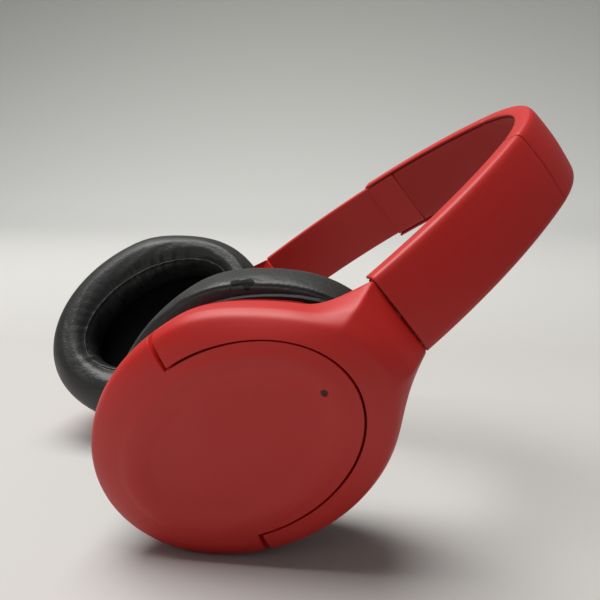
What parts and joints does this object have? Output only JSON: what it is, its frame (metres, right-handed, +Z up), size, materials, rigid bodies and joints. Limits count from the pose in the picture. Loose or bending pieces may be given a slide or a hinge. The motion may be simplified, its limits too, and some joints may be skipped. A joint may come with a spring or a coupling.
{
  "type": "over-ear headphones",
  "caption": "Over-ear wireless headphones with a moulded headband, curved sliders, swivelling yokes and tilting ear cups with padded cushions, lying on a surface.",
  "frame": {"origin": "centre of the foot of the bounding box, on the surface that both ear cups rest on", "axes": "+Z up from the surface; X runs roughly from ear to ear with the left cup at +X; the crown of the headband leans back towards +Y"},
  "size_m": [0.1728, 0.1858, 0.126],
  "materials": {
    "moulded_red_plastic": "satin moulded plastic, fine spark texture",
    "red_lining": "soft-touch skin over foam",
    "ear_pad_leatherette": "black imitation leather over foam",
    "black_plastic": "plain moulded plastic",
    "black_cloth": "knitted cloth over thin foam",
    "driver_film": "formed film",
    "steel": "bright plain steel",
    "button_red_plastic": "satin moulded plastic",
    "battery_foil": "pouch cell foil",
    "circuit_board": "solder mask on glass-fibre laminate",
    "touch_sheet_copper": "copper-clad flexible sheet"
  },
  "bodies": {
    "headband": {"left_band_cover": "moulded_red_plastic", "right_band_cover": "moulded_red_plastic", "crown_cover": "moulded_red_plastic", "left_band_end_plate": "moulded_red_plastic", "right_band_end_plate": "moulded_red_plastic", "headband_lining": "red_lining", "spring_strip": "steel"},
    "left_slider": {"left_slider_stem": "moulded_red_plastic"},
    "right_slider": {"right_slider_stem": "moulded_red_plastic"},
    "left_yoke": {"left_yoke": "moulded_red_plastic", "left_swivel_pin": "steel"},
    "right_yoke": {"right_yoke": "moulded_red_plastic", "right_swivel_pin": "steel"},
    "left_cup": {"left_housing": "moulded_red_plastic", "left_microphone": "black_plastic", "left_front_pivot_pin": "steel", "left_rear_pivot_pin": "steel", "left_baffle": "black_plastic", "left_pad_ring": "black_plastic", "left_ear_pad": "ear_pad_leatherette", "left_speaker_cloth": "black_cloth", "left_driver_frame": "black_plastic", "left_driver_cone": "driver_film", "left_driver_magnet": "steel", "battery": "battery_foil", "socket_board": "circuit_board", "charging_socket": "steel", "headphone_socket": "black_plastic"},
    "right_cup": {"right_housing": "moulded_red_plastic", "right_microphone": "black_plastic", "right_front_pivot_pin": "steel", "right_rear_pivot_pin": "steel", "right_baffle": "black_plastic", "right_pad_ring": "black_plastic", "right_ear_pad": "ear_pad_leatherette", "right_speaker_cloth": "black_cloth", "right_driver_frame": "black_plastic", "right_driver_cone": "driver_film", "right_driver_magnet": "steel", "main_board": "circuit_board", "touch_sensor": "touch_sheet_copper"},
    "power_button": {"power_button": "button_red_plastic"},
    "mode_button": {"mode_button": "button_red_plastic"}
  },
  "joints": [
    {"name": "left_slide", "type": "hinge", "parent": "headband", "child": "left_slider", "pos_m": [-0.04789, 0.00098, 0.0603], "axis": [-0.1287, 0.6046, -0.7861], "range_deg": [0, 25.67]},
    {"name": "left_swivel", "type": "hinge", "parent": "left_slider", "child": "left_yoke", "pos_m": [0.06827, 0.03791, 0.06968], "axis": [-0.2838, 0.737, 0.6134], "range_deg": [-5, 90]},
    {"name": "left_tilt", "type": "hinge", "parent": "left_yoke", "child": "left_cup", "pos_m": [0.07136, -0.00708, 0.03536], "axis": [0.1714, -0.4255, 0.8886], "range_deg": [0, 12]},
    {"name": "right_slide", "type": "hinge", "parent": "headband", "child": "right_slider", "pos_m": [0.05079, 0.00098, 0.04414], "axis": [0.1287, -0.6046, 0.7861], "range_deg": [-25.67, 0]},
    {"name": "right_swivel", "type": "hinge", "parent": "right_slider", "child": "right_yoke", "pos_m": [-0.07034, -0.00477, 0.05955], "axis": [-0.0393, -0.7951, -0.6052], "range_deg": [-39, 56]},
    {"name": "right_tilt", "type": "hinge", "parent": "right_yoke", "child": "right_cup", "pos_m": [-0.06091, -0.05287, 0.03112], "axis": [0.5219, 0.3399, -0.7824], "range_deg": [-12, 0]},
    {"name": "power_press", "type": "slide", "parent": "left_cup", "child": "power_button", "axis": [0.2158, -0.1618, 0.9629], "range_m": [0, 0.0005], "stiffness_N_per_m": 800},
    {"name": "mode_press", "type": "slide", "parent": "left_cup", "child": "mode_button", "axis": [0.2476, 0.184, 0.9512], "range_m": [0, 0.0005], "stiffness_N_per_m": 800}
  ]
}
